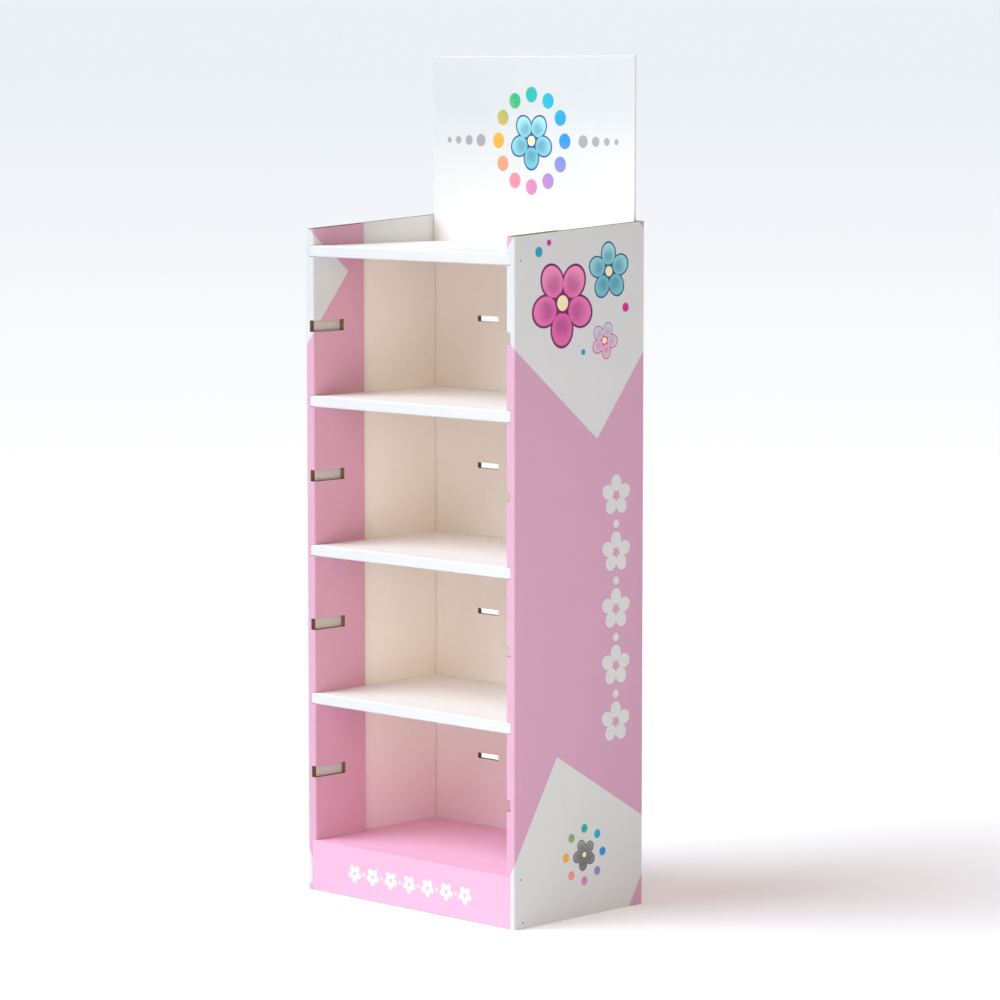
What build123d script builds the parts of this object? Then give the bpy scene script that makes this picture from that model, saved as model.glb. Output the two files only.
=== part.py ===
from build123d import *
import os

os.makedirs("parts", exist_ok=True)

# A free-standing display stand of heavy corrugated board, in millimetres.
# The origin is on the floor, under the middle of the stand. -Y is the front and +Z is up.

# Board
BOARD = 11.0  # sides, shelves and plinth
BACK_BOARD = 9.8  # back panel
HEADER_BOARD = 6.0  # header card, folded double and pressed flat
FOLD_GAP = 0.4  # between two plies folded onto each other
FOLD_RADIUS = 3.0  # outside of a fold
HEADER_EDGE_RADIUS = 2.4  # closed edges of the header card

# Fits
CLEARANCE = 0.3  # round a piece that slides into place
SLOT_PLAY = 0.4  # above a shelf or tongue that rests in its slot

# Plan
WIDTH = 582.0
DEPTH = 362.0
FLANGE_DEPTH = 138.0  # front face to the rear edge of the flange folded in at each side
SLOT_DEPTH = 82.0  # front face to the rear end of a side slot
TONGUE_SLOT_WIDTH = 58.5
TONGUE_SLOT_X = 98.5  # middle of the stand to the near end of a tongue slot

# Heights
FIRST_LEVEL = 81.0  # floor to the lowest level of the slots
LEVEL_PITCH = 150.0
SHELF_COUNT = 4
LEVELS_PER_SHELF = 2  # every second level is left empty
SIDE_RIM = 55.0  # top level to the front corner of the side panels
SIDE_TOP_RISE = 21.0  # the side panels' top climbs this much towards the back
HEADER_RISE = 322.0  # rear corner of the side panels to the top of the header
HEADER_FOOT = 16.0  # how far the header reaches down behind the top shelf

front_y = -DEPTH / 2
back_y = DEPTH / 2
back_inner_y = back_y - BACK_BOARD
flange_rear_y = front_y + FLANGE_DEPTH
slot_rear_y = front_y + SLOT_DEPTH

double_ply = 2 * BOARD + FOLD_GAP
upper_ply = BOARD + FOLD_GAP  # underside of the upper ply, above a shelf's level
outer_x = WIDTH / 2
wall_x = outer_x - BOARD
flange_x = outer_x - double_ply

level_count = SHELF_COUNT * LEVELS_PER_SHELF + 1
levels = [FIRST_LEVEL + i * LEVEL_PITCH for i in range(level_count)]
shelf_levels = levels[LEVELS_PER_SHELF::LEVELS_PER_SHELF]
base_top = FIRST_LEVEL + double_ply
side_front_height = shelf_levels[-1] + SIDE_RIM
side_back_height = side_front_height + SIDE_TOP_RISE
header_top = side_back_height + HEADER_RISE
header_bottom = shelf_levels[-1] - HEADER_FOOT
header_front_y = back_inner_y - HEADER_BOARD

CORNER = (Align.MIN, Align.MIN)
FRONT_MIDDLE = (Align.CENTER, Align.MIN)


def rolled_edge(long_ply, short_ply):
    """Section of a sheet folded back on itself: x runs in from the fold, y through both plies."""
    with BuildSketch() as section:
        with BuildLine():
            Polyline(
                (long_ply, 0),
                (0, 0),
                (0, double_ply),
                (short_ply, double_ply),
                (short_ply, upper_ply),
                (BOARD, upper_ply),
                (BOARD, BOARD),
                (long_ply, BOARD),
                close=True,
            )
        make_face()
        fillet(section.vertices().group_by(Axis.X)[0], FOLD_RADIUS)
    return section.sketch


def tray_plan(rear_y):
    """Outline of a shelf from above: front wings in the side slots, waist, rear part and two tongues."""
    tray_width = 2 * (wall_x - CLEARANCE)
    with BuildSketch() as plan:
        with Locations((0, front_y)):
            Rectangle(tray_width, SLOT_DEPTH - CLEARANCE, align=FRONT_MIDDLE)
            Rectangle(2 * (flange_x - CLEARANCE), rear_y - front_y, align=FRONT_MIDDLE)
        with Locations((0, flange_rear_y + CLEARANCE)):
            Rectangle(tray_width, rear_y - flange_rear_y - CLEARANCE, align=FRONT_MIDDLE)
        tongue_x = TONGUE_SLOT_X + TONGUE_SLOT_WIDTH / 2
        with Locations((-tongue_x, rear_y), (tongue_x, rear_y)):
            Rectangle(TONGUE_SLOT_WIDTH - 2 * CLEARANCE, back_y - rear_y, align=FRONT_MIDDLE)
    return plan.sketch


def tongue_slots(slot_levels):
    """The pair of slots that a shelf's tongues pass through, at each level: x across, y up."""
    corners = [(x, z + upper_ply) for z in slot_levels for x in (-TONGUE_SLOT_X - TONGUE_SLOT_WIDTH, TONGUE_SLOT_X)]
    with BuildSketch() as slots:
        with Locations(*corners):
            Rectangle(TONGUE_SLOT_WIDTH, BOARD + SLOT_PLAY, align=CORNER)
    return slots.sketch


# Left side panel: outer wall, front strip and flange are one sheet, rolled in at the front
left_section = Plane((-outer_x, front_y, side_back_height), x_dir=(0, 1, 0), z_dir=(0, 0, -1))
with BuildPart() as left_side_panel:
    with BuildSketch(left_section):
        add(rolled_edge(DEPTH, FLANGE_DEPTH))
    extrude(amount=side_back_height)
    # the top climbs towards the back
    with BuildSketch(Plane.YZ):
        with BuildLine():
            Polyline(
                (front_y, 0),
                (back_y, 0),
                (back_y, side_back_height),
                (front_y, side_front_height),
                close=True,
            )
        make_face()
    extrude(amount=-outer_x, mode=Mode.INTERSECT)
    # slots for the shelves, through the flange and the inner half of the strip
    with BuildSketch(*[Plane.XY.offset(z) for z in levels[1:]]):
        with Locations((-wall_x, front_y)):
            Rectangle(wall_x - flange_x, SLOT_DEPTH, align=CORNER)
    extrude(amount=double_ply + SLOT_PLAY, mode=Mode.SUBTRACT)
    # the base floor is a single ply
    with BuildSketch(Plane.XY.offset(FIRST_LEVEL + upper_ply)):
        with Locations((-wall_x, front_y)):
            Rectangle(wall_x - flange_x, SLOT_DEPTH, align=CORNER)
    extrude(amount=BOARD + SLOT_PLAY, mode=Mode.SUBTRACT)
    # the plinth's front stands in the strip's place
    with BuildSketch():
        with Locations((-wall_x, front_y)):
            Rectangle(wall_x - flange_x, BOARD + CLEARANCE, align=CORNER)
    extrude(amount=base_top, mode=Mode.SUBTRACT)

with BuildPart() as right_side_panel:
    mirror(left_side_panel.part, about=Plane.YZ)

# Back panel: a flat sheet between the side walls
with BuildPart() as back_panel:
    with BuildSketch(Plane.XZ.offset(-back_y)):
        Rectangle(2 * (wall_x - CLEARANCE), side_back_height, align=FRONT_MIDDLE)
        add(tongue_slots(levels), mode=Mode.SUBTRACT)
    extrude(amount=BACK_BOARD)

# Header card: stands against the back panel, with the top shelf's tongues through its foot
with BuildPart() as header_card:
    with BuildSketch(Plane.XZ.offset(-back_inner_y)):
        with Locations((0, header_bottom)):
            Rectangle(2 * (wall_x - CLEARANCE), header_top - header_bottom, align=FRONT_MIDDLE)
    extrude(amount=HEADER_BOARD)
    fillet(header_card.edges() - header_card.edges().group_by(Axis.Z)[0], HEADER_EDGE_RADIUS)
    with BuildSketch(Plane.XZ.offset(-back_inner_y)):
        add(tongue_slots(shelf_levels[-1:]))
    extrude(amount=HEADER_BOARD, mode=Mode.SUBTRACT)

# Base tray: the plinth's front and the base floor are one sheet with one fold
with BuildPart() as base_tray:
    with BuildSketch(Plane.YZ.offset(-outer_x)) as base_section:
        with BuildLine():
            Polyline(
                (front_y, 0),
                (front_y, base_top),
                (back_y, base_top),
                (back_y, base_top - BOARD),
                (front_y + BOARD, base_top - BOARD),
                (front_y + BOARD, 0),
                close=True,
            )
        make_face()
        fillet(base_section.vertices().group_by(Axis.Y)[0].sort_by(Axis.Z)[-1], FOLD_RADIUS)
    extrude(amount=WIDTH)
    with BuildSketch():
        add(tray_plan(back_inner_y - CLEARANCE))
    extrude(amount=base_top, mode=Mode.INTERSECT)

# Shelves: a deck whose front edge is rolled down and back under it
shelves = []
for number, level in enumerate(shelf_levels, start=1):
    is_top = level == shelf_levels[-1]
    behind_y = header_front_y if is_top else back_inner_y
    section_plane = Plane((outer_x, front_y, level + double_ply), x_dir=(0, 1, 0), z_dir=(-1, 0, 0))
    with BuildPart() as shelf:
        with BuildSketch(section_plane):
            add(rolled_edge(DEPTH, SLOT_DEPTH - CLEARANCE))
        extrude(amount=WIDTH)
        with BuildSketch(Plane.XY.offset(level)):
            add(tray_plan(behind_y - CLEARANCE))
        extrude(amount=double_ply, mode=Mode.INTERSECT)
    shelf.part.label = f"shelf_{number}"
    shelves.append(shelf.part)

left_side_panel.part.label = "left_side_panel"
right_side_panel.part.label = "right_side_panel"
back_panel.part.label = "back_panel"
header_card.part.label = "header_card"
base_tray.part.label = "base_tray"

export_step(left_side_panel.part, "parts/left_side_panel.step")
export_step(right_side_panel.part, "parts/right_side_panel.step")
export_step(back_panel.part, "parts/back_panel.step")
export_step(header_card.part, "parts/header_card.step")
export_step(base_tray.part, "parts/base_tray.step")
for shelf_part in shelves:
    export_step(shelf_part, f"parts/{shelf_part.label}.step")
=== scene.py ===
import math

import bmesh
import bpy
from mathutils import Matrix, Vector


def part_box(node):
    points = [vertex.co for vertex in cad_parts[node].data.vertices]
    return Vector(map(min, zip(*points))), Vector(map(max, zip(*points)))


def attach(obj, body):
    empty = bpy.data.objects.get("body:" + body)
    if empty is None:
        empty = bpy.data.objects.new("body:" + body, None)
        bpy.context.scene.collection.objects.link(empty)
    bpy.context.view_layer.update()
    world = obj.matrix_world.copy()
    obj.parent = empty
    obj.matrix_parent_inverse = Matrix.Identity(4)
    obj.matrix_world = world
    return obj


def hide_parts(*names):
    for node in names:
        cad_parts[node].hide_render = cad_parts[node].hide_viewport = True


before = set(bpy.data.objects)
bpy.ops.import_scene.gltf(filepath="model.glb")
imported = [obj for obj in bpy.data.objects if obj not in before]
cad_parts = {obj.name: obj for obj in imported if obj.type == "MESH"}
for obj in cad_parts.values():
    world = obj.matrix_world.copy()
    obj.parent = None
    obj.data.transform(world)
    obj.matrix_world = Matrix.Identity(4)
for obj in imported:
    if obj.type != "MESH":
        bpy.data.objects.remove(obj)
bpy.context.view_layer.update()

# Sizes in metres, as the solids have them. x is across, -y is the open front and z is up.
BOARD = 0.011
FOLD_RADIUS = 0.003
FLANGE_DEPTH = 0.138
SLOT_DEPTH = 0.082
CLEARANCE = 0.0003
SLOT_PLAY = 0.0004
TONGUE_SLOT_WIDTH = 0.0585
TONGUE_SLOT_X = 0.0985
FIRST_LEVEL = 0.081
LEVEL_PITCH = 0.150
LEVEL_COUNT = 9
SHELF_COUNT = 4
SIDE_TOP_RISE = 0.021

# Section of the board: three liners with a wavy medium between each two
LINER = 0.0008
MIDDLE_LINER = 0.0006
MEDIUM = 0.0005
FLUTE_PITCH = 0.0084
STEPS_PER_FLUTE = 8
FOLD_STEPS = 5  # faces round a fold's corner
BACK_GAP = 0.0005  # left bare at each side of the back, where its crushed edge stands off the walls

side_low, side_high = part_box("right_side_panel")
back_low, back_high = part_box("back_panel")
_, base_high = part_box("base_tray")
OUTER_X = side_high.x
FLANGE_X = side_low.x
WALL_X = OUTER_X - BOARD
FRONT_Y = side_low.y
BACK_Y = side_high.y
DEPTH = BACK_Y - FRONT_Y
SIDE_TOP = side_high.z
DOUBLE_PLY = OUTER_X - FLANGE_X
UPPER_PLY = DOUBLE_PLY - BOARD
BASE_TOP = base_high.z
SLOT_REAR_Y = FRONT_Y + SLOT_DEPTH
FLANGE_REAR_Y = FRONT_Y + FLANGE_DEPTH
RECESS_REAR_Y = FRONT_Y + BOARD + CLEARANCE
LEVELS = [FIRST_LEVEL + i * LEVEL_PITCH for i in range(LEVEL_COUNT)]
TOP_DECK = LEVELS[-1] + DOUBLE_PLY
SIDE_SLOTS = [(FIRST_LEVEL + UPPER_PLY, BASE_TOP + SLOT_PLAY)]
SIDE_SLOTS += [(z, z + DOUBLE_PLY + SLOT_PLAY) for z in LEVELS[1:]]
BACK_SLOTS = [(z + UPPER_PLY, z + UPPER_PLY + BOARD + SLOT_PLAY) for z in LEVELS]

# Colours, linear
WHITE_INK = (0.70, 0.73, 0.75)
PAINTED_SHADE_STRIP_WHITE = (0.63, 0.67, 0.695)  # the white on the side panels' front-facing strips, darker than WHITE_INK: painted shade
PINK_INK = (0.645, 0.372, 0.533)
# pink of the inward faces, redder than PINK_INK: the pink ink with painted warm light
FLANGE_PINK_AND_PAINTED_WARM_LIGHT = (0.70, 0.375, 0.51)
HEADER_INK = (0.625, 0.66, 0.685)
# paler white at the header's foot: painted bounce light from the top deck
HEADER_FOOT_PAINTED_LIGHT = (0.83, 0.83, 0.83)
# pale white on every face off the header's front: painted highlight on its rounded rim
HEADER_RIM_PAINTED_HIGHLIGHT = (0.84, 0.83, 0.82)
LIP_INK = (0.67, 0.70, 0.725)
BASE_PINK = (0.85, 0.43, 0.615)
# the shelves' upward faces, far paler than LIP_INK: the white with painted light
DECK_WHITE_AND_PAINTED_LIGHT = (0.985, 0.985, 0.98)
# the base floor's upward faces, paler than BASE_PINK: the pink with painted light
BASE_DECK_PINK_AND_PAINTED_LIGHT = (0.99, 0.565, 0.81)
LINER_COLOUR = (0.94, 0.895, 0.85)
TOP_LINER_PAINTED_SHADE = (0.80, 0.80, 0.80)  # painted shade on the liner above the top shelf
SLOT_LINER_PAINTED_SHADE = (0.71, 0.675, 0.645)  # painted shade between the plies, seen through the slots
LOW_LINER_PAINTED_PINK_BOUNCE = (0.81, 0.62, 0.71)  # painted pink bounce light next to the pink base floor
UNDERSIDE_COLOUR = (0.82, 0.62, 0.44)
KRAFT_DARK = (0.16, 0.09, 0.04)
KRAFT_LIGHT = (0.38, 0.25, 0.13)
DARK_GREY = (0.10, 0.10, 0.11)
MID_GREY = (0.36, 0.37, 0.39)
PLUM = (0.17, 0.01, 0.12)
MAGENTA = (0.60, 0.02, 0.30)
ROSE = (0.93, 0.33, 0.60)
NAVY = (0.02, 0.07, 0.24)
TEAL = (0.02, 0.36, 0.52)
PALE_TEAL = (0.40, 0.80, 0.84)
CREAM = (0.96, 0.86, 0.55)
RAINBOW = (
    (0.95, 0.42, 0.05),
    (0.90, 0.26, 0.36),
    (0.45, 0.24, 0.62),
    (0.02, 0.28, 0.72),
    (0.01, 0.45, 0.62),
    (0.02, 0.45, 0.18),
)

# Paper: the noises, as (scale, detail)
CLOUDS = (26.0, 4.0)
FIBRES = (1400.0, 3.0)
SPECKLES = (420.0, 2.0)
SLACK = (7.0, 1.0)
FLECKS = (260.0, 2.0)
RAW_FIBRES = (900.0, 4.0)
RAW_PATCHES = (120.0, 2.0)

# Paper: how the patterns lighten it, roughen it and raise it
FIBRE_STRETCH = (1.0, 1.0, 0.25)
PLAIN_TONE = 0.94  # share of the colour that is left before the patterns lighten it
CLOUD_TONE = 0.04
FIBRE_TONE = 0.05
INK_SPECKLE_TONE = 0.03
LINER_SPECKLE_TONE = 0.06
RIDGE_TONE = 0.003
INK_ROUGHNESS = 0.46
LINER_ROUGHNESS = 0.74
CLOUD_ROUGHNESS = 0.16
KRAFT_ROUGHNESS = 0.9
INK_SPECULAR = 0.35
LINER_SPECULAR = 0.2
RIDGE_HEIGHT = 0.35
FIBRE_HEIGHT = 0.35
SLACK_HEIGHT = 6.0
BOARD_BUMP = (0.6, 0.00006)  # strength and distance
RAW_BUMP = (0.5, 0.0001)
RAW_FIBRE_SHARE = 0.7
RAW_PATCH_SHARE = 0.3
FLECK_LIMIT = 0.70
FLECK_STRENGTH = 0.09
PAINTED_BOUNCE_HEIGHT = 0.21  # how far the painted pink bounce light reaches above the base floor

# A printed flower, in shares of its radius, and other print
PETAL_COUNT = 5
PETAL_REACH = (0.60, 0.40, 0.35)  # middle of a petal, its half length and its half width
OUTLINE = 0.10  # how far it reaches past a petal, and half as far within, as a share of the petal
EYE = 0.18
EYE_RIM = 0.24
OPEN_EYE = 0.17
RISING_SHADE = 0.6  # how much of a flower's shading goes up it
SPREADING_SHADE = 0.4  # and how much goes outwards from its eye
VEIN_ACROSS = (0.62, 0.35)  # where the darker middle of a petal ends, and how softly
VEIN_OUTWARDS = (0.72, 0.30)
VEIN_STRENGTH = 0.35
GARLAND_DOT = 0.2
RING_DOT = 0.17  # as a share of the ring's radius
PRINT_EDGE = 0.0005  # softness of a printed edge

# Print on the side panels: u along the flat sheet, from left to right as seen from outside, and z up
UPPER_FIELD_TILT = math.radians(51.3)
UPPER_FIELD_PLACE = (0.187, 1.228)
UPPER_FIELD_SIZE = (0.400, 0.430)
LOWER_FIELD_TILT = math.radians(59.3)
LOWER_FIELD_PLACE = (0.178, 0.089)
LOWER_FIELD_SIZE = (0.344, 0.344)
LOWER_FIELD_SHIFT = 0.0236  # the left panel's lower field lies this much further back
REGISTER_DOTS = ((0.0163, 1.290), (0.0169, 0.097), (0.0233, 0.012))  # back from the fold, and z
REGISTER_DOT_RADIUS = 0.0018
BIG_FLOWER = ((0.132, 1.205), 0.084, 0.35)  # place, radius and turn
BLUE_FLOWER = ((0.262, 1.262), 0.056, 0.9)
SMALL_FLOWER = ((0.250, 1.128), 0.036, 0.1)
LOOSE_DOTS = (
    ((0.066, 1.305), 0.010),
    ((0.094, 1.322), 0.006),
    ((0.190, 1.108), 0.006),
    ((0.310, 1.190), 0.009),
)
COLUMN_U = 0.285
COLUMN_PITCH = 0.112
COLUMN_FIRST = 0.375
COLUMN_FLOWERS = 5
COLUMN_RADIUS = 0.041
SIDE_RING_PLACE = (0.196, 0.122)
SIDE_RING_RADIUS = 0.052
SIDE_RING_DOTS = 8
SIDE_RING_FLOWER = 0.6  # radius of the flower in the ring, as a share of the ring's
SIDE_RING_TURN = 0.5

# Print on the header, x across and z up, and on the plinth
HEADER_PAINTED_LIGHT_FOOT = 1.36  # the header's white is palest below this: painted light from the deck's bounce
HEADER_FADE = 0.22
HEADER_RIM = 0.94  # faces that turn this much to the front are flat, and the rest is its rounded rim, painted pale as a highlight
HEADER_RING_PLACE = (0.0, 1.510)
HEADER_RING_RADIUS = 0.092
HEADER_RING_DOTS = 12
HEADER_RING_FLOWER = 0.62
HEADER_DOTS = ((0.142, 0.0125), (0.176, 0.0100), (0.206, 0.0078), (0.232, 0.0058))
PLINTH_ROW_Z = 0.050
PLINTH_PITCH = 0.052
PLINTH_FLOWERS = 7
PLINTH_RADIUS = 0.0185
UPRIGHT_TURN = math.pi / 10  # turns a flower's lowest petal straight down

# Floor, backdrop and surround
FLOOR_SIZE = 2000.0
FLOOR_COLOUR = (0.90, 0.90, 0.90)
FLOOR_ROUGHNESS = 0.9
# the camera sees a cool colour over a warm glow: the lit floor stays white and its shadow takes a pink
# tint, painted bounce light
SEEN_FLOOR_COLOUR = (0.92, 1.08, 1.10)
SEEN_FLOOR_LIFT = (0.265, 0.14, 0.15)
HORIZON = (0.835, 0.875, 0.925)
WHITE = (1.0, 1.0, 1.0)
SURROUND_STRENGTH = 0.145
HAZE_START = 9.4  # from the stand to where the floor starts to turn blue
HAZE_DISTANCE = 8.0
GLOW_START = 4.7  # from here to HAZE_START the lit floor gives way to the plain backdrop

# Camera, fitted to the photograph
CAMERA_PLACE = (5.6565, -5.6830, 1.6315)
CAMERA_PITCH = 5.919
CAMERA_YAW = 44.488
CAMERA_LENS = 145.92
SENSOR_WIDTH = 36.0
VIEW_DISTANCE = 5000.0

# Lamps
AIM = (0.0, 0.0, 0.9)  # what the panels face

# Material slots of the side sheets, and of the back sheet
SIDE_INK, SIDE_LINER, SIDE_RAW = 0, 1, 2
BACK_LINER, BACK_RAW = 0, 1


class Shader:
    """One material and short names for the nodes that it is wired from."""

    def __init__(self, name):
        self.material = bpy.data.materials.new(name)
        self.material.use_nodes = True
        self.tree = self.material.node_tree
        self.surface = self.tree.nodes["Principled BSDF"]
        self.place = self.node("ShaderNodeTexCoord").outputs["Object"]
        self.x, self.y, self.z = self.split(self.place)
        facing = self.node("ShaderNodeNewGeometry").outputs["Normal"]
        self.facing_x, self.facing_y, self.facing_z = self.split(facing)

    def node(self, kind, **settings):
        made = self.tree.nodes.new(kind)
        for key, value in settings.items():
            setattr(made, key, value)
        return made

    def feed(self, socket, value):
        if isinstance(value, bpy.types.NodeSocket):
            self.tree.links.new(value, socket)
        else:
            socket.default_value = value

    def split(self, vector):
        made = self.node("ShaderNodeSeparateXYZ")
        self.feed(made.inputs[0], vector)
        return made.outputs

    def math(self, operation, *values, clamp=False):
        made = self.node("ShaderNodeMath", operation=operation, use_clamp=clamp)
        for socket, value in zip(made.inputs, values):
            self.feed(socket, value)
        return made.outputs[0]

    def over(self, factor, under, upper):
        """upper laid over under, as much as factor says. Colours are (r, g, b) or sockets."""
        made = self.node("ShaderNodeMix", data_type="RGBA")
        self.feed(made.inputs["Factor"], factor)
        for name, value in (("A", under), ("B", upper)):
            socket = [s for s in made.inputs if s.name == name and s.type == "RGBA"][0]
            self.feed(socket, value if isinstance(value, bpy.types.NodeSocket) else (*value, 1.0))
        return [s for s in made.outputs if s.type == "RGBA"][0]

    def noise(self, scale, detail, vector=None):
        made = self.node("ShaderNodeTexNoise")
        self.feed(made.inputs["Vector"], vector or self.place)
        made.inputs["Scale"].default_value = scale
        made.inputs["Detail"].default_value = detail
        return made.outputs["Fac"]

    def bump(self, height, strength, distance):
        made = self.node("ShaderNodeBump")
        made.inputs["Strength"].default_value = strength
        made.inputs["Distance"].default_value = distance
        self.feed(made.inputs["Height"], height)
        self.feed(self.surface.inputs["Normal"], made.outputs[0])

    def both(self, a, b):
        return self.math("MULTIPLY", a, b)

    def either(self, a, b):
        return self.math("MAXIMUM", a, b)

    def total(self, start, *weighted):
        """start plus each value times its weight."""
        for value, weight in weighted:
            start = self.math("ADD", start, self.math("MULTIPLY", value, weight))
        return start

    def rise(self, value, start, length):
        """0 where value is up to start, 1 from length beyond it, and even between."""
        return self.math("DIVIDE", self.math("SUBTRACT", value, start), length, clamp=True)

    def faces(self, component, side, limit=0.5):
        """1 where a component of the normal is past limit, on side 1 or -1 of nought."""
        return self.math("GREATER_THAN" if side > 0 else "LESS_THAN", component, side * limit)

    def inside(self, distance, reach, softness=PRINT_EDGE):
        """1 where distance is under reach, 0 beyond, with a soft edge."""
        step = self.math("DIVIDE", self.math("SUBTRACT", reach, distance), softness)
        return self.math("ADD", step, 0.5, clamp=True)

    def from_centre(self, u, v, centre):
        """The two coordinates from centre, and the distance."""
        du = self.math("SUBTRACT", u, centre[0])
        dv = self.math("SUBTRACT", v, centre[1])
        distance = self.math("SQRT", self.math("ADD", self.both(du, du), self.both(dv, dv)))
        return du, dv, distance

    def disc(self, u, v, centre, radius):
        return self.inside(self.from_centre(u, v, centre)[2], radius)

    def rectangle(self, u, v, centre, size, angle):
        du, dv, _ = self.from_centre(u, v, centre)
        cos, sin = math.cos(angle), math.sin(angle)
        along = self.math("ADD", self.math("MULTIPLY", du, cos), self.math("MULTIPLY", dv, sin))
        across = self.math("SUBTRACT", self.math("MULTIPLY", dv, cos), self.math("MULTIPLY", du, sin))
        within_length = self.inside(self.math("ABSOLUTE", along), size[0] / 2)
        within_width = self.inside(self.math("ABSOLUTE", across), size[1] / 2)
        return self.both(within_length, within_width)

    def petals(self, u, v, centre, radius, count, turn=0.0, reach=PETAL_REACH):
        """Petals set round centre: how far a point lies from the nearest one's middle, 1 at its edge.

        reach has the petal's place, half length and half width, as shares of radius. The distance
        from centre is returned too, and the direction in turns.
        """
        du, dv, distance = self.from_centre(u, v, centre)
        angle = self.math("ARCTAN2", dv, du)
        half = math.pi / count
        folded = self.math("WRAP", self.math("ADD", angle, turn), half, -half)
        along = self.math("SUBTRACT", self.both(distance, self.math("COSINE", folded)), radius * reach[0])
        along = self.math("DIVIDE", along, radius * reach[1])
        across = self.math("DIVIDE", self.both(distance, self.math("SINE", folded)), radius * reach[2])
        share = self.math("SQRT", self.math("ADD", self.both(along, along), self.both(across, across)))
        turns = self.math("ADD", self.math("DIVIDE", angle, 2 * math.pi), 0.5)
        return share, distance, turns

    def flower(self, colour, u, v, centre, radius, turn, low, high, outline):
        """A flower laid over colour, shaded from low to high, with a pale eye."""
        share, distance, _ = self.petals(u, v, centre, radius, PETAL_COUNT, turn)
        soft = PRINT_EDGE / (PETAL_REACH[1] * radius)
        colour = self.over(self.inside(share, 1 + OUTLINE, soft), colour, outline)
        rise = self.rise(v, centre[1] - radius, 2 * radius)
        out = self.math("DIVIDE", distance, radius, clamp=True)
        shade = self.total(0.0, (rise, RISING_SHADE), (out, SPREADING_SHADE))
        fill = self.over(shade, low, high)
        colour = self.over(self.inside(share, 1 - OUTLINE / 2, soft), colour, fill)
        vein = self.both(self.inside(share, *VEIN_ACROSS), self.inside(out, *VEIN_OUTWARDS))
        colour = self.over(self.math("MULTIPLY", vein, VEIN_STRENGTH), colour, outline)
        colour = self.over(self.inside(distance, radius * EYE_RIM), colour, outline)
        return self.over(self.inside(distance, radius * EYE), colour, CREAM)

    def rainbow_ring(self, colour, u, v, centre, radius, count):
        """Round dots in a ring, whose colour goes once round the rainbow."""
        share, _, turns = self.petals(u, v, centre, radius, count, reach=(1.0, RING_DOT, RING_DOT))
        ramp = self.node("ShaderNodeValToRGB")
        stops = ramp.color_ramp.elements
        for i in range(len(RAINBOW) - 1):
            stops.new((i + 1) / len(RAINBOW))
        for i, stop in enumerate(stops):
            stop.position = i / len(RAINBOW)
            stop.color = (*RAINBOW[i % len(RAINBOW)], 1.0)
        self.feed(ramp.inputs[0], turns)
        soft = PRINT_EDGE / (RING_DOT * radius)
        return self.over(self.inside(share, 1.0, soft), colour, ramp.outputs[0])

    def garland(self, colour, along, across, first, pitch, count, radius, turn):
        """White flowers in a straight row with a dot between each two."""
        from_first = self.math("SUBTRACT", along, first)
        local = self.math("WRAP", from_first, pitch / 2, -pitch / 2)
        share, distance, _ = self.petals(local, across, (0.0, 0.0), radius, PETAL_COUNT, turn)
        soft = PRINT_EDGE / (PETAL_REACH[1] * radius)
        open_eye = self.math("SUBTRACT", 1.0, self.inside(distance, radius * OPEN_EYE))
        flower = self.both(self.inside(share, 1.0, soft), open_eye)
        from_middle = self.math("ABSOLUTE", self.math("SUBTRACT", from_first, pitch * (count - 1) / 2))
        flower = self.both(flower, self.inside(from_middle, pitch * count / 2))
        between = self.math("WRAP", self.math("SUBTRACT", from_first, pitch / 2), pitch / 2, -pitch / 2)
        dot = self.disc(between, across, (0.0, 0.0), radius * GARLAND_DOT)
        dot = self.both(dot, self.inside(from_middle, pitch * (count - 1) / 2))
        return self.over(self.either(flower, dot), colour, WHITE_INK)


def finish_board(shader, colour, across_flutes, ink):
    """Paper liner over flutes: faint ridges, fibres, cloudy ink and a slightly uneven gloss."""
    ridge = shader.math("SINE", shader.math("MULTIPLY", across_flutes, 2 * math.pi / FLUTE_PITCH))
    stretched = shader.node("ShaderNodeMapping")
    shader.feed(stretched.inputs["Vector"], shader.place)
    stretched.inputs["Scale"].default_value = FIBRE_STRETCH
    fibre = shader.noise(*FIBRES, stretched.outputs[0])
    cloud = shader.noise(*CLOUDS)
    speckle = shader.noise(*SPECKLES)
    slack = shader.noise(*SLACK)

    speckle_tone = INK_SPECKLE_TONE if ink else LINER_SPECKLE_TONE
    patterns = ((cloud, CLOUD_TONE), (fibre, FIBRE_TONE), (speckle, speckle_tone), (ridge, RIDGE_TONE))
    tone = shader.total(PLAIN_TONE, *patterns)
    scaled = shader.node("ShaderNodeVectorMath", operation="SCALE")
    shader.feed(scaled.inputs[0], colour)
    shader.feed(scaled.inputs["Scale"], tone)
    shader.feed(shader.surface.inputs["Base Color"], scaled.outputs[0])

    roughness = shader.total(INK_ROUGHNESS if ink else LINER_ROUGHNESS, (cloud, CLOUD_ROUGHNESS))
    shader.feed(shader.surface.inputs["Roughness"], roughness)
    shader.surface.inputs["Specular IOR Level"].default_value = INK_SPECULAR if ink else LINER_SPECULAR
    height = shader.total(0.0, (ridge, RIDGE_HEIGHT), (slack, SLACK_HEIGHT), (fibre, FIBRE_HEIGHT))
    shader.bump(height, *BOARD_BUMP)


def sheet_along(shader, side):
    """A point's place along the flat side sheet, from its outer fold.

    It grows towards the back of the wall, and falls below nought over the strip and the flange.
    """
    in_from_outside = shader.math("SUBTRACT", OUTER_X, shader.math("MULTIPLY", shader.x, side))
    from_front = shader.math("SUBTRACT", shader.y, FRONT_Y)
    on_flange = shader.math("GREATER_THAN", in_from_outside, DOUBLE_PLY / 2)
    direction = shader.math("SUBTRACT", 1.0, shader.math("MULTIPLY", on_flange, 2.0))
    return shader.math("SUBTRACT", shader.math("MULTIPLY", from_front, direction), in_from_outside)


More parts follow.
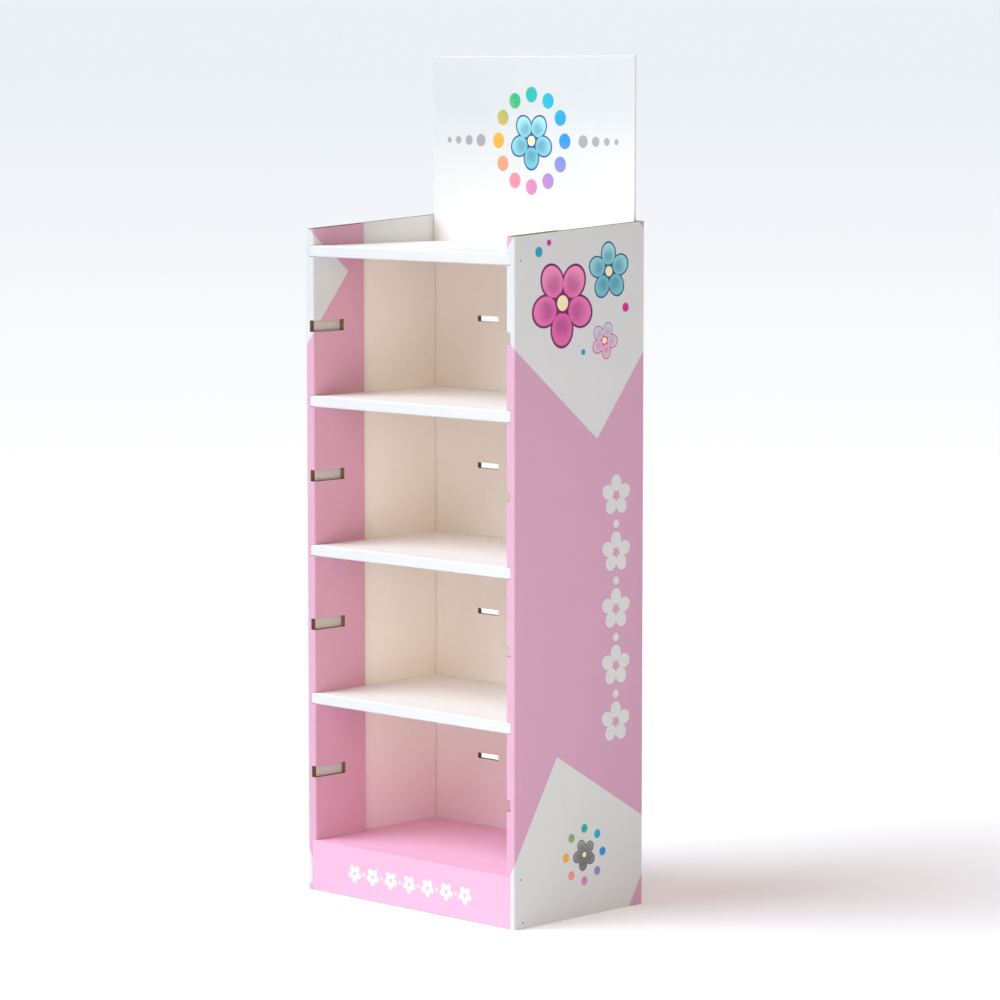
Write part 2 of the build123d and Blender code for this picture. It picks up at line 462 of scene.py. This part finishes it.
def side_fields(shader, side, u):
    """The tilted white fields on pink, which run round the fold and onto the flange."""
    place, tilt = LOWER_FIELD_PLACE, LOWER_FIELD_TILT
    if side < 0:
        place = (DEPTH - place[0] - LOWER_FIELD_SHIFT, place[1])
        tilt = -tilt
    upper = shader.rectangle(u, shader.z, UPPER_FIELD_PLACE, UPPER_FIELD_SIZE, UPPER_FIELD_TILT)
    lower = shader.rectangle(u, shader.z, place, LOWER_FIELD_SIZE, tilt)
    # front-facing faces get a darker white: painted shade
    white = shader.over(shader.faces(shader.facing_y, -1), WHITE_INK, PAINTED_SHADE_STRIP_WHITE)
    # inward-facing pink is redder: painted warm light
    inward = shader.faces(shader.math("MULTIPLY", shader.facing_x, side), -1)
    pink = shader.over(inward, PINK_INK, FLANGE_PINK_AND_PAINTED_WARM_LIGHT)
    return shader.over(shader.either(upper, lower), pink, white)


def side_pictures(shader, colour, u, v):
    """Flowers and loose dots above, a garland up the middle, and a ring of dots below."""
    colour = shader.flower(colour, u, v, *BIG_FLOWER, MAGENTA, ROSE, PLUM)
    colour = shader.flower(colour, u, v, *BLUE_FLOWER, TEAL, PALE_TEAL, NAVY)
    colour = shader.flower(colour, u, v, *SMALL_FLOWER, ROSE, PALE_TEAL, MAGENTA)
    for i, (place, radius) in enumerate(LOOSE_DOTS):
        colour = shader.over(shader.disc(u, v, place, radius), colour, (TEAL, MAGENTA)[i % 2])
    across = shader.math("SUBTRACT", u, COLUMN_U)
    column = (COLUMN_FIRST, COLUMN_PITCH, COLUMN_FLOWERS, COLUMN_RADIUS)
    colour = shader.garland(colour, v, across, *column, turn=0.0)
    colour = shader.rainbow_ring(colour, u, v, SIDE_RING_PLACE, SIDE_RING_RADIUS, SIDE_RING_DOTS)
    ring_flower = (SIDE_RING_PLACE, SIDE_RING_RADIUS * SIDE_RING_FLOWER, SIDE_RING_TURN)
    return shader.flower(colour, u, v, *ring_flower, DARK_GREY, MID_GREY, DARK_GREY)


def side_print(side):
    """The side panels' ink. side is 1 for the right panel and -1 for the left.

    u runs from left to right as seen from outside, so the pictures read the same way round on both.
    """
    shader = Shader("side_print_right" if side > 0 else "side_print_left")
    sheet_u = sheet_along(shader, side)
    u = sheet_u if side > 0 else shader.math("SUBTRACT", DEPTH, sheet_u)
    colour = side_pictures(shader, side_fields(shader, side, u), u, shader.z)
    for place in REGISTER_DOTS:
        colour = shader.over(shader.disc(sheet_u, shader.z, place, REGISTER_DOT_RADIUS), colour, DARK_GREY)
    finish_board(shader, colour, sheet_u, ink=True)
    return shader.material


def plain_liner(name, across):
    """Unprinted paper, with painted pink bounce light near the base floor, and painted shade above the top
    shelf and between plies.

    Faces that look to the rear are even. across is the axis that the flutes follow one another along.
    """
    shader = Shader(name)
    # pinker near the base floor: painted bounce light from it
    colour = shader.over(shader.rise(shader.z, BASE_TOP, PAINTED_BOUNCE_HEIGHT), LOW_LINER_PAINTED_PINK_BOUNCE, LINER_COLOUR)
    # greyer above the top shelf: painted shade
    above = shader.math("GREATER_THAN", shader.z, TOP_DECK)
    colour = shader.over(above, colour, TOP_LINER_PAINTED_SHADE)
    # greyer between the plies, in the slots' recess: painted shade
    between_plies = shader.math("LESS_THAN", shader.y, FLANGE_REAR_Y)
    colour = shader.over(between_plies, colour, SLOT_LINER_PAINTED_SHADE)
    colour = shader.over(shader.faces(shader.facing_y, 1), colour, LINER_COLOUR)
    fleck = shader.math("GREATER_THAN", shader.noise(*FLECKS), FLECK_LIMIT)
    colour = shader.over(shader.math("MULTIPLY", fleck, FLECK_STRENGTH), colour, KRAFT_LIGHT)
    finish_board(shader, colour, (shader.x, shader.y, shader.z)[across], ink=False)
    return shader.material


def raw_edge(shader):
    """Raw brown paper, seen on cut edges and inside the flutes: its colour and its fibres."""
    fibre = shader.noise(*RAW_FIBRES)
    patches = shader.noise(*RAW_PATCHES)
    blend = shader.total(0.0, (fibre, RAW_FIBRE_SHARE), (patches, RAW_PATCH_SHARE))
    return shader.over(blend, KRAFT_DARK, KRAFT_LIGHT), fibre


def kraft(name):
    shader = Shader(name)
    colour, fibre = raw_edge(shader)
    shader.feed(shader.surface.inputs["Base Color"], colour)
    shader.surface.inputs["Roughness"].default_value = KRAFT_ROUGHNESS
    shader.bump(fibre, *RAW_BUMP)
    return shader.material


def tray_colour(shader, ink_colour, inner_y):
    """A folded tray: ink on its outside, plain liner behind inner_y beneath, and raw cut edges."""
    downward = shader.faces(shader.facing_z, -1)
    beneath = shader.both(downward, shader.math("GREATER_THAN", shader.y, inner_y))
    colour = shader.over(beneath, ink_colour, UNDERSIDE_COLOUR)
    end = shader.faces(shader.math("ABSOLUTE", shader.facing_x), 1)
    rear = shader.faces(shader.facing_y, 1)
    ply = shader.math("WRAP", shader.math("SUBTRACT", shader.z, FIRST_LEVEL), UPPER_PLY, 0.0)
    off_middle = shader.math("ABSOLUTE", shader.math("SUBTRACT", ply, BOARD / 2))
    near_skin = shader.math("GREATER_THAN", off_middle, BOARD / 2 - LINER)
    near_middle = shader.math("LESS_THAN", off_middle, MIDDLE_LINER / 2)
    raw, _ = raw_edge(shader)
    raw = shader.over(shader.either(near_skin, near_middle), raw, KRAFT_LIGHT)
    return shader.over(shader.either(end, rear), colour, raw)


def shelf_print():
    """White, greyer on the rolled lip than on the deck, whose upward faces are painted paler as light."""
    shader = Shader("shelf_print")
    # upward faces paler than the lip: painted light
    ink = shader.over(shader.faces(shader.facing_z, 1), LIP_INK, DECK_WHITE_AND_PAINTED_LIGHT)
    colour = tray_colour(shader, ink, SLOT_REAR_Y - CLEARANCE / 2)
    finish_board(shader, colour, shader.math("ADD", shader.y, shader.z), ink=True)
    return shader.material


def base_print():
    """Pink all over, paler on its upward faces with painted light, and a white garland along the plinth's
    front.
    """
    shader = Shader("base_print")
    across = shader.math("SUBTRACT", shader.z, PLINTH_ROW_Z)
    first = -PLINTH_PITCH * (PLINTH_FLOWERS - 1) / 2
    row = (first, PLINTH_PITCH, PLINTH_FLOWERS, PLINTH_RADIUS)
    printed = shader.garland(BASE_PINK, shader.x, across, *row, UPRIGHT_TURN)
    # upward faces paler: painted light
    ink = shader.over(shader.faces(shader.facing_z, 1), printed, BASE_DECK_PINK_AND_PAINTED_LIGHT)
    colour = tray_colour(shader, ink, FRONT_Y + BOARD / 2)
    finish_board(shader, colour, shader.math("ADD", shader.y, shader.z), ink=True)
    return shader.material


def header_print():
    """A ring of dots round a flower, and grey dots to each side. The white is paler at the foot, painted
    bounce light from the deck, and on the rim, a painted highlight.
    """
    shader = Shader("header_print")
    x, z = shader.x, shader.z
    # paler towards the foot: painted light of the deck's bounce
    colour = shader.over(shader.rise(z, HEADER_PAINTED_LIGHT_FOOT, HEADER_FADE), HEADER_FOOT_PAINTED_LIGHT, HEADER_INK)
    colour = shader.rainbow_ring(colour, x, z, HEADER_RING_PLACE, HEADER_RING_RADIUS, HEADER_RING_DOTS)
    radius = HEADER_RING_RADIUS * HEADER_RING_FLOWER
    colour = shader.flower(colour, x, z, HEADER_RING_PLACE, radius, UPRIGHT_TURN, TEAL, PALE_TEAL, NAVY)
    either_side = shader.math("ABSOLUTE", x)
    for distance, dot_radius in HEADER_DOTS:
        dot = shader.disc(either_side, z, (distance, HEADER_RING_PLACE[1]), dot_radius)
        colour = shader.over(dot, colour, MID_GREY)
    on_front = shader.faces(shader.facing_y, -1, HEADER_RIM)
    # faces off the front get the pale rim white: painted highlight
    colour = shader.over(on_front, HEADER_RIM_PAINTED_HIGHLIGHT, colour)
    finish_board(shader, colour, x, ink=True)
    return shader.material


def add_plate(mesh, outer, inner, z_lines, top_at, is_cut, slots):
    """A closed plate between two plan lines, which have a point each for every corner.

    It stands from the first of z_lines to top_at(y), open where is_cut(x, y, z) says so.
    slots are the material slots of its outer face, its inner face and its edges.
    """
    columns, rows = len(outer), len(z_lines)
    lines = (outer, inner)

    def height(line, i, j):
        return top_at(lines[line][i][1]) if j == rows - 1 else z_lines[j]

    def kept(i, j):
        if not (0 <= i < columns - 1 and 0 <= j < rows - 1):
            return False
        x = (outer[i][0] + outer[i + 1][0] + inner[i][0] + inner[i + 1][0]) / 4
        y = (outer[i][1] + outer[i + 1][1] + inner[i][1] + inner[i + 1][1]) / 4
        return not is_cut(x, y, (z_lines[j] + z_lines[j + 1]) / 2)

    corners = {}

    def corner(line, i, j):
        key = (line, i, j)
        if key not in corners:
            x, y = lines[line][i]
            corners[key] = mesh.verts.new((x, y, height(line, i, j)))
        return corners[key]

    def quad(slot, *keys):
        face = mesh.faces.new([corner(*key) for key in keys])
        face.material_index = slot
        return face

    made = []
    for i in range(columns - 1):
        for j in range(rows - 1):
            if not kept(i, j):
                continue
            ring = ((i, j), (i + 1, j), (i + 1, j + 1), (i, j + 1))
            made.append(quad(slots[0], *[(0, *p) for p in ring]))
            made.append(quad(slots[1], *[(1, *p) for p in reversed(ring)]))
            neighbours = ((i, j - 1), (i + 1, j), (i, j + 1), (i - 1, j))
            for k, neighbour in enumerate(neighbours):
                if not kept(*neighbour):
                    a, b = ring[k], ring[(k + 1) % 4]
                    made.append(quad(slots[2], (0, *b), (0, *a), (1, *a), (1, *b)))
    bmesh.ops.recalc_face_normals(mesh, faces=made)


def wave_lines(start, end, centre, room, axis):
    """Two plan lines for a wavy medium from start to end, across room about centre.

    axis is 0 where the medium runs along x, and 1 where it runs along y.
    """
    count = max(2, round((end - start) / FLUTE_PITCH * STEPS_PER_FLUTE))
    swing = (room - MEDIUM) / 2
    lines = ([], [])
    for i in range(count + 1):
        along = start + (end - start) * i / count
        offset = centre + swing * math.cos(2 * math.pi * along / FLUTE_PITCH)
        for line, side in zip(lines, (-1, 1)):
            across = offset + side * MEDIUM / 2
            line.append((along, across) if axis == 0 else (across, along))
    return lines


def arc(centre, radius, start, end):
    """Points on a fold's rounded corner, with angles in degrees."""
    angles = [math.radians(start + (end - start) * i / FOLD_STEPS) for i in range(FOLD_STEPS + 1)]
    return [(centre[0] + radius * math.cos(a), centre[1] + radius * math.sin(a)) for a in angles]


def finish_piece(mesh, name, materials, node):
    data = bpy.data.meshes.new(name)
    mesh.to_mesh(data)
    mesh.free()
    piece = bpy.data.objects.new(name, data)
    bpy.context.scene.collection.objects.link(piece)
    for material in materials:
        data.materials.append(material)
    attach(piece, "root")
    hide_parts(node)


def side_is_cut(x, y, z):
    if abs(x) > WALL_X:
        return False
    if y < RECESS_REAR_Y and z < BASE_TOP:
        return True
    return y < SLOT_REAR_Y and any(low < z < high for low, high in SIDE_SLOTS)


def side_top_at(y):
    return SIDE_TOP - SIDE_TOP_RISE * (BACK_Y - y) / DEPTH


def outer_liner(radius, inset):
    """Plan line of the printed skin, inset from the surface: wall, both folds and flange."""
    front_in = FRONT_Y + FOLD_RADIUS
    line = [(OUTER_X - inset, BACK_Y)]
    line += arc((OUTER_X - FOLD_RADIUS, front_in), radius, 0, -90)
    line += [(WALL_X, FRONT_Y + inset)]
    line += arc((FLANGE_X + FOLD_RADIUS, front_in), radius, -90, -180)
    line += [(FLANGE_X + inset, y) for y in (RECESS_REAR_Y, SLOT_REAR_Y, FLANGE_REAR_Y)]
    return line


def inner_liner(inset):
    """Plan line of the plain skin, inset from the surface."""
    turn_y = FRONT_Y + BOARD - inset
    flange_x = FLANGE_X + BOARD - inset
    line = [(WALL_X + inset, BACK_Y), (WALL_X + inset, turn_y), (flange_x, turn_y)]
    line += [(flange_x, y) for y in (RECESS_REAR_Y, SLOT_REAR_Y, FLANGE_REAR_Y)]
    return line


def add_side_plate(mesh, side, near, far, z_lines, slots):
    """A plate whose plan lines are given for the right panel, on the panel that side says."""
    lines = [[(side * x, y) for x, y in line] for line in (near, far)]
    add_plate(mesh, *lines, z_lines, side_top_at, side_is_cut, slots)


def add_ply(mesh, side, start, end, outside, z_lines, along_x=False):
    """The middle liner and the two mediums of one ply. outside is where its outer liner ends."""
    room = (BOARD - 2 * LINER - MIDDLE_LINER) / 2
    near, far = outside + room, outside + room + MIDDLE_LINER
    if along_x:
        pairs = [([(start, near), (end, near)], [(start, far), (end, far)])]
    else:
        pairs = [([(near, start), (near, end)], [(far, start), (far, end)])]
    for centre in (outside + room / 2, far + room / 2):
        pairs.append(wave_lines(start, end, centre, room, 0 if along_x else 1))
    for pair in pairs:
        add_side_plate(mesh, side, *pair, z_lines, (SIDE_RAW, SIDE_RAW, SIDE_RAW))


def side_panel(side, materials):
    """Outer wall, front strip and flange of real board, folded from one sheet."""
    mesh = bmesh.new()
    z_lines = sorted({0.0, BASE_TOP, SIDE_TOP, *[z for slot in SIDE_SLOTS for z in slot]})
    plain_lines = [0.0, SIDE_TOP]
    outer = (outer_liner(FOLD_RADIUS, 0.0), outer_liner(FOLD_RADIUS - LINER, LINER))
    add_side_plate(mesh, side, *outer, z_lines, (SIDE_INK, SIDE_RAW, SIDE_RAW))
    inner = (inner_liner(0.0), inner_liner(LINER))
    add_side_plate(mesh, side, *inner, z_lines, (SIDE_LINER, SIDE_RAW, SIDE_RAW))
    add_ply(mesh, side, FRONT_Y + BOARD, BACK_Y, WALL_X + LINER, plain_lines)
    add_ply(mesh, side, RECESS_REAR_Y, SLOT_REAR_Y, FLANGE_X + LINER, z_lines)
    add_ply(mesh, side, SLOT_REAR_Y, FLANGE_REAR_Y, FLANGE_X + LINER, plain_lines)
    add_ply(mesh, side, WALL_X, OUTER_X - LINER, FRONT_Y + LINER, plain_lines, along_x=True)
    add_ply(mesh, side, FLANGE_X + LINER, WALL_X, FRONT_Y + LINER, z_lines, along_x=True)
    name = "right_side_sheet" if side > 0 else "left_side_sheet"
    node = "right_side_panel" if side > 0 else "left_side_panel"
    finish_piece(mesh, name, materials, node)


def back_is_cut(x, y, z):
    in_column = TONGUE_SLOT_X < abs(x) < TONGUE_SLOT_X + TONGUE_SLOT_WIDTH
    return in_column and any(low < z < high for low, high in BACK_SLOTS)


def back_sheet(materials):
    """The flat back of real board: liners with slots, and mediums that stop at them."""
    mesh = bmesh.new()
    top = back_high.z
    z_lines = sorted({0.0, top, *[z for slot in BACK_SLOTS for z in slot]})
    slot_far_x = TONGUE_SLOT_X + TONGUE_SLOT_WIDTH
    side_x = back_high.x - BACK_GAP
    x_lines = [-side_x, -slot_far_x, -TONGUE_SLOT_X, TONGUE_SLOT_X, slot_far_x, side_x]
    slot_spans = (1, 3)  # the stretches between x_lines that have slots
    room = (back_high.y - back_low.y - 2 * LINER - MIDDLE_LINER) / 2

    def add_back_plate(near, far, lines, face_slot):
        add_plate(mesh, near, far, lines, lambda y: top, back_is_cut, (face_slot, BACK_RAW, BACK_RAW))

    def add_flat(near_y, far_y, face_slot):
        add_back_plate([(x, near_y) for x in x_lines], [(x, far_y) for x in x_lines], z_lines, face_slot)

    add_flat(back_low.y, back_low.y + LINER, BACK_LINER)
    add_flat(back_high.y, back_high.y - LINER, BACK_LINER)
    add_flat(back_low.y + LINER + room, back_high.y - LINER - room, BACK_RAW)
    for k, (start, end) in enumerate(zip(x_lines, x_lines[1:])):
        lines = z_lines if k in slot_spans else [0.0, top]
        for centre in (back_low.y + LINER + room / 2, back_high.y - LINER - room / 2):
            add_back_plate(*wave_lines(start, end, centre, room, 0), lines, BACK_RAW)
    finish_piece(mesh, "back_sheet", materials, "back_panel")


def dress(node, material):
    """Gives a CAD piece its material."""
    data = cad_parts[node].data
    data.materials.clear()
    data.materials.append(material)


def add_camera():
    data = bpy.data.cameras.new("camera")
    data.lens = CAMERA_LENS
    data.sensor_width = SENSOR_WIDTH
    data.clip_end = VIEW_DISTANCE
    camera = bpy.data.objects.new("camera", data)
    camera.location = CAMERA_PLACE
    camera.rotation_euler = (math.radians(90 - CAMERA_PITCH), 0.0, math.radians(CAMERA_YAW))
    bpy.context.scene.collection.objects.link(camera)
    bpy.context.scene.camera = camera


def add_sun(name, toward, energy, spread, color):
    data = bpy.data.lights.new(name, "SUN")
    data.energy = energy
    data.angle = math.radians(spread)
    data.color = color
    sun = bpy.data.objects.new(name, data)
    sun.rotation_euler = Vector(toward).to_track_quat("Z", "Y").to_euler()
    bpy.context.scene.collection.objects.link(sun)


def add_panel(name, place, size, power, color):
    """A soft panel lamp that stands at place and faces the middle of the stand."""
    data = bpy.data.lights.new(name, "AREA")
    data.shape = "RECTANGLE"
    data.size, data.size_y = size
    data.energy = power
    data.color = color
    lamp = bpy.data.objects.new(name, data)
    lamp.location = place
    lamp.rotation_euler = (Vector(place) - Vector(AIM)).to_track_quat("Z", "Y").to_euler()
    lamp.visible_camera = False
    bpy.context.scene.collection.objects.link(lamp)


def add_lights():
    """A broad cool key at the front left, a low warm sun at the front right, a weak one behind,
    and two low panels at the right.
    """
    add_sun("key", toward=(-0.474, -0.630, 0.615), energy=2.95, spread=53, color=(0.935, 1.0, 1.065))
    add_sun("warm", toward=(0.604, -0.720, 0.342), energy=0.62, spread=45, color=(1.28, 1.0, 0.72))
    add_sun("rear", toward=(-0.42, 0.86, 0.29), energy=0.75, spread=80, color=(1.04, 1.0, 0.97))
    add_panel("low_fill", place=(1.30, -2.25, 0.35), size=(2.6, 0.7), power=2, color=(1.25, 0.96, 0.80))
    add_panel("side_fill", place=(1.73, -1.00, 0.35), size=(2.4, 0.6), power=11.5, color=(1.07, 0.98, 0.99))


def add_surround():
    """A dim white surround, and the horizon's colour where the camera or a gloss sees it."""
    world = bpy.data.worlds.new("studio")
    bpy.context.scene.world = world
    world.use_nodes = True
    tree = world.node_tree
    tree.nodes.clear()
    output = tree.nodes.new("ShaderNodeOutputWorld")
    mix = tree.nodes.new("ShaderNodeMixShader")
    path = tree.nodes.new("ShaderNodeLightPath")
    looked_at = tree.nodes.new("ShaderNodeMath")
    looked_at.operation = "MAXIMUM"
    surround = tree.nodes.new("ShaderNodeBackground")
    surround.inputs["Color"].default_value = (*WHITE, 1.0)
    surround.inputs["Strength"].default_value = SURROUND_STRENGTH
    seen = tree.nodes.new("ShaderNodeBackground")
    seen.inputs["Color"].default_value = (*HORIZON, 1.0)
    tree.links.new(path.outputs["Is Camera Ray"], looked_at.inputs[0])
    tree.links.new(path.outputs["Is Glossy Ray"], looked_at.inputs[1])
    tree.links.new(looked_at.outputs[0], mix.inputs["Fac"])
    tree.links.new(surround.outputs[0], mix.inputs[1])
    tree.links.new(seen.outputs[0], mix.inputs[2])
    tree.links.new(mix.outputs[0], output.inputs["Surface"])


def mixed_shaders(shader, factor, first, second):
    mix = shader.node("ShaderNodeMixShader")
    shader.feed(mix.inputs["Fac"], factor)
    shader.feed(mix.inputs[1], first)
    shader.feed(mix.inputs[2], second)
    return mix.outputs[0]


def seen_floor(shader):
    """What the camera sees: a lit floor that takes the shadow, and the plain backdrop beyond it."""
    _, _, away = shader.from_centre(shader.x, shader.y, (0.0, 0.0))
    lit = shader.node("ShaderNodeBsdfDiffuse")
    lit.inputs["Color"].default_value = (*SEEN_FLOOR_COLOUR, 1.0)
    lift = shader.node("ShaderNodeEmission")
    lift.inputs["Color"].default_value = (*SEEN_FLOOR_LIFT, 1.0)
    lifted = shader.node("ShaderNodeAddShader")
    shader.feed(lifted.inputs[0], lit.outputs[0])
    shader.feed(lifted.inputs[1], lift.outputs[0])
    near = shader.math("DIVIDE", HAZE_START + HAZE_DISTANCE, shader.math("ADD", away, HAZE_DISTANCE))
    haze = shader.math("SUBTRACT", 1.0, near, clamp=True)
    glow = shader.node("ShaderNodeEmission")
    shader.feed(glow.inputs["Color"], shader.over(haze, WHITE, HORIZON))
    beyond = shader.rise(away, GLOW_START, HAZE_START - GLOW_START)
    return mixed_shaders(shader, beyond, lifted.outputs[0], glow.outputs[0])


def floor_paint():
    """Pale grey where it lights the stand, and the seen floor to the camera and to gloss."""
    shader = Shader("floor")
    shader.surface.inputs["Base Color"].default_value = (*FLOOR_COLOUR, 1.0)
    shader.surface.inputs["Roughness"].default_value = FLOOR_ROUGHNESS
    shader.surface.inputs["Specular IOR Level"].default_value = 0.0
    path = shader.node("ShaderNodeLightPath")
    looked_at = shader.either(path.outputs["Is Camera Ray"], path.outputs["Is Glossy Ray"])
    mixed = mixed_shaders(shader, looked_at, shader.surface.outputs[0], seen_floor(shader))
    output = [n for n in shader.tree.nodes if n.type == "OUTPUT_MATERIAL"][0]
    shader.feed(output.inputs["Surface"], mixed)
    return shader.material


def add_floor():
    """A pale floor that reaches the horizon, white round the stand and pale blue far off."""
    data = bpy.data.meshes.new("floor")
    size = FLOOR_SIZE
    corners = [(-size, -size, 0), (size, -size, 0), (size, size, 0), (-size, size, 0)]
    data.from_pydata(corners, [], [(0, 1, 2, 3)])
    floor = bpy.data.objects.new("floor", data)
    bpy.context.scene.collection.objects.link(floor)
    data.materials.append(floor_paint())


raw_board = kraft("raw_board")
liner_across_y = plain_liner("liner_side", 1)
liner_across_x = plain_liner("liner_back", 0)
for side in (-1, 1):
    side_panel(side, [side_print(side), liner_across_y, raw_board])
back_sheet([liner_across_x, raw_board])
dress("base_tray", base_print())
shelf_material = shelf_print()
for number in range(1, SHELF_COUNT + 1):
    dress(f"shelf_{number}", shelf_material)
dress("header_card", header_print())

add_camera()
add_lights()
add_surround()
add_floor()
bpy.context.scene.view_settings.view_transform = "Standard"
